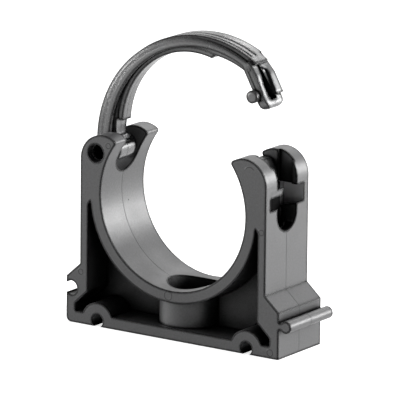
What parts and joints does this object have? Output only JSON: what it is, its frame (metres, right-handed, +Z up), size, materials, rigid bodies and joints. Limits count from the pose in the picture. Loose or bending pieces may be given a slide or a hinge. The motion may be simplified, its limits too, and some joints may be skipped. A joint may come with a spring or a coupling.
{
  "type": "pipe clip",
  "caption": "Snap pipe clip: moulded plastic base with a half-round saddle, screw boss and coupling edges, and a hinged strap that closes over the pipe.",
  "frame": {"origin": "on the screw hole's axis, at the underside of the foot", "axes": "+X towards the latch, +Y to the back along the pipe's axis, +Z up from the foot"},
  "size_m": [0.0975, 0.0274, 0.1112],
  "materials": {
    "base_plastic": "satin black polypropylene with a fine grain",
    "strap_plastic": "satin black polypropylene, a little glossier than the base"
  },
  "bodies": {
    "base": {"base": "base_plastic"},
    "strap": {"strap": "strap_plastic"}
  },
  "joints": [
    {"name": "strap_hinge", "type": "hinge", "parent": "base", "child": "strap", "pos_m": [-0.0336, 0, 0.0645], "axis": [0, 1, 0], "range_deg": [-90, 32.5]}
  ]
}
